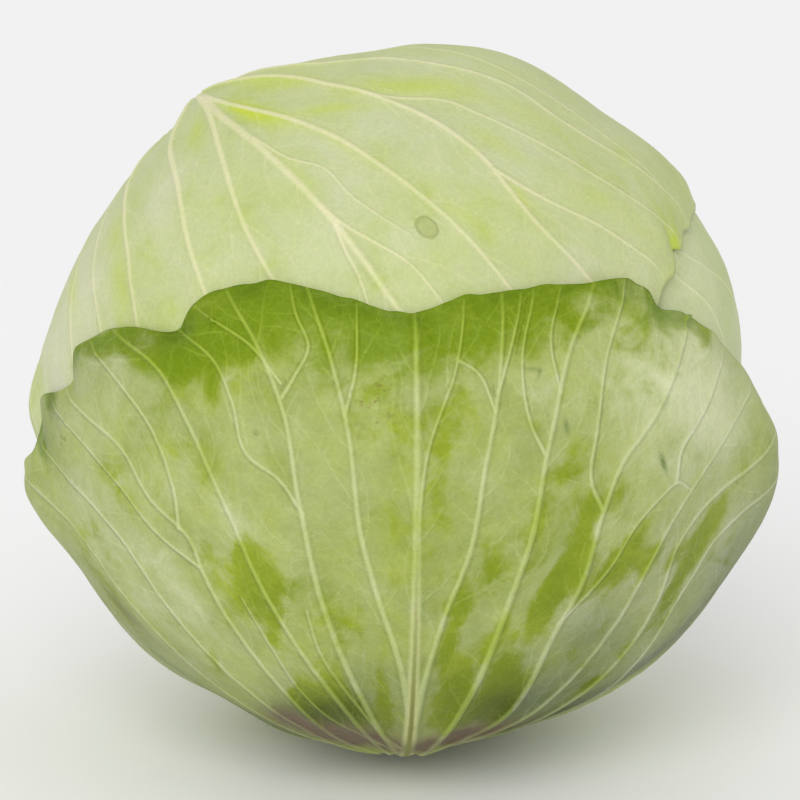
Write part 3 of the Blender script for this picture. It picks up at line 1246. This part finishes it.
def draw_marks(tree, skin, place, tissue):
    """Brown specks, nicks and a round scar over the skin, with the scar's ring for the relief."""
    speck = node(tree, "ShaderNodeTexNoise", {
        "Vector": place, "Scale": 560.0, "Detail": 4.0, "Roughness": 0.7}).outputs[0]
    speck = times(tree, ramp(tree, speck, 0.54, 0.66), attribute(tree, "specks"))
    skin = blend(tree, times(tree, speck, SPECK_SHOW), skin, SPECK)
    nicks = times(tree, attribute(tree, "nicks"), NICK_SHOW, True)
    skin = blend(tree, nicks, skin, NICK)

    ragged = times(tree, math_node(tree, "SUBTRACT", tissue["Pucker"], 0.5), 0.5)
    scar = math_node(tree, "ADD", attribute(tree, "scar"), ragged)
    disc = ramp(tree, scar, 0.34, 0.44)
    ring = math_node(tree, "SUBTRACT", disc, ramp(tree, scar, 0.48, 0.66))
    skin = blend(tree, times(tree, disc, SCAR_SHOW), skin, SCAR)
    skin = blend(tree, times(tree, ring, SCAR_RING_SHOW), skin, SCAR_RING)
    return skin, ring


def leaf_relief(tree, lines, tissue, ring, look):
    """The bump of the veins, the scar's ring, the net and the finest puckers."""
    main = times(tree, lines["rib"]["Swell"], attribute(tree, "rib_show"))
    fork = times(tree, lines["fork"]["Swell"], attribute(tree, "fork_show"))
    main = math_node(tree, "MAXIMUM", main, fork)
    main = math_node(tree, "MAXIMUM", main, lines["midrib"]["Swell"])
    vein = times(tree, lines["vein"]["Swell"], attribute(tree, "vein_show"))
    parts = (
        (main, 0.8), (ring, 0.5), (vein, 0.3), (tissue["Net"], 0.03), (tissue["Grain"], 0.05),
        (tissue["Shade"], 0.6), (tissue["Pucker"], 0.9),
    )
    height = 0.0
    for part, share in parts:
        height = math_node(tree, "ADD", height, times(tree, part, share))
    return node(tree, "ShaderNodeBump", {
        "Height": height, "Distance": look["relief"], "Strength": 0.8}).outputs[0]


def leaf_material(name, groups, look):
    """A leaf's skin: blade, waxy bloom, veins, blush at the base, and the marks it has."""
    material, tree, shader = new_material(name, look["blade"])
    place = node(tree, "ShaderNodeTexCoord").outputs["Object"]
    tissue = use(tree, groups["tissue"], {"Vector": place})
    wax = use(tree, groups["bloom"], {
        "Vector": attribute(tree, "flow", "Vector"), "Amount": attribute(tree, "wax"),
        "Rubbed": attribute(tree, "rub"), "Patch size": look["patch"]})
    lines = {label: vein_line(tree, groups, label, softness)
             for label, softness in zip(VEIN_SETS, VEIN_SOFTNESS)}

    skin, layers = blade_skin(tree, tissue, wax, look)
    skin = draw_veins(tree, skin, layers, lines, tissue, look)
    skin, ring = draw_marks(tree, skin, place, tissue)
    grain = ramp(tree, tissue["Grain"], 0.25, 0.75, *GRAIN_RANGE)
    skin = blend(tree, 1.0, skin, node(tree, "ShaderNodeCombineColor", {
        0: grain, 1: grain, 2: grain}).outputs[0], "MULTIPLY")
    rough = ramp(tree, layers["waxed"], 0.0, 1.0, *look["rough"])

    tree.links.new(skin, shader.inputs["Base Color"])
    tree.links.new(rough, shader.inputs["Roughness"])
    tree.links.new(leaf_relief(tree, lines, tissue, ring, look), shader.inputs["Normal"])
    shader.inputs["Subsurface Weight"].default_value = 0.08
    shader.inputs["Subsurface Radius"].default_value = (0.5, 1.0, 0.25)
    shader.inputs["Subsurface Scale"].default_value = 0.002
    shader.inputs["Specular IOR Level"].default_value = look["gloss"]
    return material


NO_TINT = linear(255, 255, 255)
GREY_SHADE = linear(170, 170, 170)
PALE_SKIN = {
    "fresh": linear(190, 204, 110), "fresh_show": 0.0, "verge": NO_TINT, "bloom_cover": 0.95,
    "pallor": linear(214, 212, 190), "dusk": GREY_SHADE, "bare_dusk": GREY_SHADE,
    "core": linear(206, 196, 160), "net_show": 0.05, "vein_show": 0.6, "rib_show": 0.85,
    "rough": (0.42, 0.55), "relief": 0.00035, "gloss": 0.25,
}
LOOKS = {
    "green_leaf": {
        "blade": linear(156, 170, 46), "deep": linear(128, 146, 24),
        "fresh": linear(110, 136, 4), "fresh_show": 0.95, "verge": linear(214, 220, 190),
        "bloom": linear(187, 194, 146), "bloom_cover": 0.92, "patch": 0.02,
        "pallor": linear(216, 220, 176), "yellow": linear(190, 200, 90),
        "dusk": linear(152, 158, 190), "bare_dusk": linear(146, 154, 100),
        "blush": linear(114, 98, 80), "vein": linear(166, 186, 66),
        "bare_vein": linear(172, 190, 88), "waxed_vein": linear(218, 220, 188),
        "rib": linear(196, 198, 138), "core": linear(128, 132, 62), "net_show": 0.08,
        "vein_show": 0.75, "rib_show": 0.9, "rough": (0.4, 0.6), "relief": 0.0008, "gloss": 0.15,
    },
    "crown_leaf": {
        **PALE_SKIN,
        "blade": linear(184, 197, 110), "deep": linear(174, 188, 100),
        "bloom": linear(198, 203, 164), "patch": 0.024, "yellow": linear(188, 204, 60),
        "blush": linear(150, 158, 104), "vein": linear(210, 214, 150),
        "bare_vein": linear(212, 216, 152), "waxed_vein": linear(226, 220, 184),
        "rib": linear(226, 214, 182),
    },
    "pale_leaf": {
        **PALE_SKIN,
        "blade": linear(184, 198, 126), "deep": linear(172, 190, 108),
        "bloom": linear(202, 208, 168), "patch": 0.03, "yellow": linear(198, 208, 90),
        "blush": linear(208, 190, 170), "vein": linear(212, 217, 160),
        "bare_vein": linear(212, 216, 158), "waxed_vein": linear(222, 221, 182),
        "rib": linear(224, 216, 182),
    },
}


def heart_material(groups):
    material, tree, shader = new_material("Heart skin", linear(214, 220, 170))
    place = node(tree, "ShaderNodeTexCoord").outputs["Object"]
    tissue = use(tree, groups["tissue"], {"Vector": place, "Net size": 0.006})
    skin = blend(tree, tissue["Shade"], linear(196, 206, 140), linear(222, 226, 182))
    skin = blend(tree, times(tree, tissue["Net"], 0.25), skin, linear(230, 230, 196))
    tree.links.new(skin, shader.inputs["Base Color"])
    tree.links.new(ramp(tree, tissue["Grain"], 0.2, 0.8, 0.42, 0.55), shader.inputs["Roughness"])
    bump = node(tree, "ShaderNodeBump", {"Height": tissue["Grain"], "Distance": 0.0002}).outputs[0]
    tree.links.new(bump, shader.inputs["Normal"])
    return material


def stalk_material(groups):
    """Pale ringed pith on the cut face, drying brown at its edge, over ridged green bark."""
    material, tree, shader = new_material("Cut stalk", linear(196, 188, 140))
    place = node(tree, "ShaderNodeTexCoord").outputs["Object"]
    tissue = use(tree, groups["tissue"], {"Vector": place, "Net size": 0.0016})
    parts = node(tree, "ShaderNodeSeparateXYZ", {0: place}).outputs
    square = math_node(
        tree, "ADD", times(tree, parts[0], parts[0]), times(tree, parts[1], parts[1]))
    out = math_node(tree, "SQRT", square)
    ring = ramp(tree, out, 0.011, 0.0165)
    cut = blend(tree, ring, linear(216, 212, 172), linear(168, 146, 96))
    cut = blend(tree, times(tree, tissue["Shade"], 0.5), cut, linear(186, 170, 116))
    up = ramp(tree, parts[2], 0.0002, 0.0016)
    skin = blend(tree, up, cut, linear(158, 166, 98))
    skin = blend(tree, times(tree, tissue["Net"], 0.3), skin, linear(206, 200, 150))
    tree.links.new(skin, shader.inputs["Base Color"])
    tree.links.new(ramp(tree, tissue["Grain"], 0.2, 0.8, 0.6, 0.8), shader.inputs["Roughness"])
    height = math_node(tree, "ADD", tissue["Grain"], tissue["Net"])
    bump = node(tree, "ShaderNodeBump", {"Height": height, "Distance": 0.0004}).outputs[0]
    tree.links.new(bump, shader.inputs["Normal"])
    return material


def floor_material(colour):
    material, tree, shader = new_material("Pale floor", (*colour, 1.0))
    place = node(tree, "ShaderNodeTexCoord").outputs["Object"]
    cloud = node(tree, "ShaderNodeTexNoise", {"Vector": place, "Scale": 3.0}).outputs[0]
    tint = blend(tree, times(tree, cloud, 0.02), (*colour, 1.0), (0.8, 0.8, 0.8, 1.0))
    tree.links.new(tint, shader.inputs["Base Color"])
    shader.inputs["Roughness"].default_value = 0.9
    return material


def shared_groups():
    builders = {"line": vein_line_group, "bloom": bloom_group, "tissue": tissue_group}
    names = {"line": "Vein line", "bloom": "Waxy bloom", "tissue": "Leaf tissue"}
    return {key: bpy.data.node_groups.get(names[key]) or build()
            for key, build in builders.items()}


# ---------------------------------------------------------------------------------------------
# Pieces


def link(obj):
    bpy.context.scene.collection.objects.link(obj)
    return obj


def stands_for(obj, cad_node):
    """Rides on the one body, in place of a solid, with that solid's material slot."""
    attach(obj, "root")
    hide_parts(cad_node)
    return obj


class CabbageSettings(bpy.types.PropertyGroup):
    """Sizes of the cabbage's surface."""

    pucker_height: FloatProperty(
        name="Pucker height", description="Height of the soft puckers of a blade",
        default=0.0007, min=0, max=0.002, subtype="DISTANCE", unit="LENGTH")
    pucker_size: FloatProperty(
        name="Pucker size", description="Width of one pucker of a blade",
        default=0.014, min=0.004, max=0.05, subtype="DISTANCE", unit="LENGTH")
    vein_relief: FloatProperty(
        name="Vein relief", description="How far the veins stand out, against the real ones",
        default=1.0, min=0, max=2, subtype="FACTOR")
    seed: IntProperty(name="Seed", description="Pattern of the puckers", default=3, min=0)


class StageSettings(bpy.types.PropertyGroup):
    """The studio round the cabbage."""

    floor_size: FloatProperty(
        name="Floor size", description="Length of the floor's side", default=12.0, min=1,
        subtype="DISTANCE", unit="LENGTH")
    floor_colour: FloatVectorProperty(
        name="Floor colour", description="Colour of the floor", default=(0.95, 0.95, 0.95),
        min=0, max=1, size=3, subtype="COLOR")
    camera_distance: FloatProperty(
        name="Camera distance", description="From the middle of the head", default=0.8, min=0.3,
        subtype="DISTANCE", unit="LENGTH")
    camera_height: FloatProperty(
        name="Camera elevation", description="Angle above the horizon",
        default=math.radians(12), min=0, max=math.radians(89), subtype="ANGLE", unit="ROTATION")
    lens: FloatProperty(
        name="Lens", description="Focal length in millimetres", default=127.0, min=10)


class CABBAGE_OT_leaves(bpy.types.Operator):
    """Make the six leaves round the heart"""

    bl_idname = "cabbage.leaves"
    bl_label = "Leaves"

    def execute(self, context):
        settings = context.scene.cabbage
        head = Head()
        tree = leaf_surface_tree()
        groups = shared_groups()
        materials = {name: leaf_material(name.replace("_", " ").capitalize(), groups, look)
                     for name, look in LOOKS.items()}
        for leaf in head.leaves:
            obj = link(bpy.data.objects.new(leaf.name + "_blade", leaf_mesh(head, leaf)))
            grow_with(tree, obj, {
                "Vein relief": settings.vein_relief,
                "Pucker height": settings.pucker_height,
                "Pucker size": settings.pucker_size,
                "Seed": float(settings.seed + leaf.index),
                "Material": materials[leaf.spec["finish"]],
            })
            stands_for(obj, leaf.name)
        return {"FINISHED"}


class CABBAGE_OT_heart(bpy.types.Operator):
    """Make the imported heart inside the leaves"""

    bl_idname = "cabbage.heart"
    bl_label = "Heart"

    def execute(self, context):
        head = Head()
        bm = bmesh.new()
        bmesh.ops.create_icosphere(bm, subdivisions=6, radius=1)
        d = np.array([v.co[:] for v in bm.verts])
        d /= np.linalg.norm(d, axis=1)[:, None]
        from_stalk = angle_between(d, np.array([0, 0, -1.0]))
        seat = SEAT_DEPTH * (1 - smooth(from_stalk, SEAT_INNER, SEAT_OUTER))
        points = head.points(d, head.heart_radius(d) - HEART_CLEARANCE - seat) * MM
        for v, p in zip(bm.verts, points):
            v.co = p
        for face in bm.faces:
            face.smooth = True
        mesh = bpy.data.meshes.new("heart_mass")
        bm.to_mesh(mesh)
        bm.free()
        mesh.materials.append(heart_material(shared_groups()))
        obj = link(bpy.data.objects.new("heart_mass", mesh))
        stands_for(obj, "heart")
        return {"FINISHED"}


class CABBAGE_OT_stalk(bpy.types.Operator):
    """Finish the cut stalk"""

    bl_idname = "cabbage.stalk"
    bl_label = "Stalk"

    def execute(self, context):
        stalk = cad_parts["stalk"]
        stalk.data.materials.clear()
        stalk.data.materials.append(stalk_material(shared_groups()))
        return {"FINISHED"}


class CABBAGE_OT_stage(bpy.types.Operator):
    """Set up the floor, the light and the camera"""

    bl_idname = "cabbage.stage"
    bl_label = "Stage"

    def execute(self, context):
        settings = context.scene.cabbage_stage
        half = settings.floor_size / 2
        mesh = bpy.data.meshes.new("floor")
        corners = [(-half, -half, 0), (half, -half, 0), (half, half, 0), (-half, half, 0)]
        mesh.from_pydata(corners, [], [(0, 1, 2, 3)])
        mesh.materials.append(floor_material(tuple(settings.floor_colour)))
        link(bpy.data.objects.new("floor", mesh))

        world = context.scene.world or bpy.data.worlds.new("Studio")
        context.scene.world = world
        world.use_nodes = True
        sky = world.node_tree.nodes["Background"]
        sky.inputs["Color"].default_value = (1, 1, 1, 1)
        sky.inputs["Strength"].default_value = 0.7
        middle = Vector((0, 0, HEAD_CENTRE_Z * MM))
        sun = bpy.data.lights.new("soft_key", "SUN")
        sun.energy = 1.35
        sun.angle = math.radians(45)
        key = link(bpy.data.objects.new("soft_key", sun))
        key.rotation_euler = Vector((0.2, 0.85, -0.6)).to_track_quat("-Z", "Y").to_euler()

        camera = bpy.data.cameras.new("camera")
        camera.lens = settings.lens
        camera.sensor_width = 36
        up = settings.camera_height
        back = Vector((0, -math.cos(up), math.sin(up)))
        view = link(bpy.data.objects.new("camera", camera))
        aside = Vector((0.001, 0, 0.0005))
        view.location = middle + aside + back * settings.camera_distance
        view.rotation_euler = (-back).to_track_quat("-Z", "Y").to_euler()
        camera.clip_start, camera.clip_end = 0.05, 50
        context.scene.camera = view
        context.scene.view_settings.view_transform = "Standard"
        return {"FINISHED"}


class CABBAGE_PT_panel(bpy.types.Panel):
    """The cabbage's pieces and their sizes"""

    bl_label = "Cabbage"
    bl_space_type = "VIEW_3D"
    bl_region_type = "UI"
    bl_category = "Cabbage"

    def draw(self, context):
        layout = self.layout
        for operator in OPERATORS:
            layout.operator(operator.bl_idname)
        for group in (context.scene.cabbage, context.scene.cabbage_stage):
            for name in group.bl_rna.properties.keys():
                if name not in ("rna_type", "name"):
                    layout.prop(group, name)


OPERATORS = (CABBAGE_OT_stage, CABBAGE_OT_heart, CABBAGE_OT_stalk, CABBAGE_OT_leaves)
CLASSES = (CabbageSettings, StageSettings, *OPERATORS, CABBAGE_PT_panel)


def register():
    for cls in CLASSES:
        bpy.utils.register_class(cls)
    bpy.types.Scene.cabbage = PointerProperty(type=CabbageSettings)
    bpy.types.Scene.cabbage_stage = PointerProperty(type=StageSettings)


def unregister():
    del bpy.types.Scene.cabbage_stage
    del bpy.types.Scene.cabbage
    for cls in reversed(CLASSES):
        bpy.utils.unregister_class(cls)


def main():
    register()
    bpy.ops.cabbage.stage()
    bpy.ops.cabbage.heart()
    bpy.ops.cabbage.stalk()
    bpy.ops.cabbage.leaves()
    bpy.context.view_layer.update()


if __name__ == "__main__":
    main()
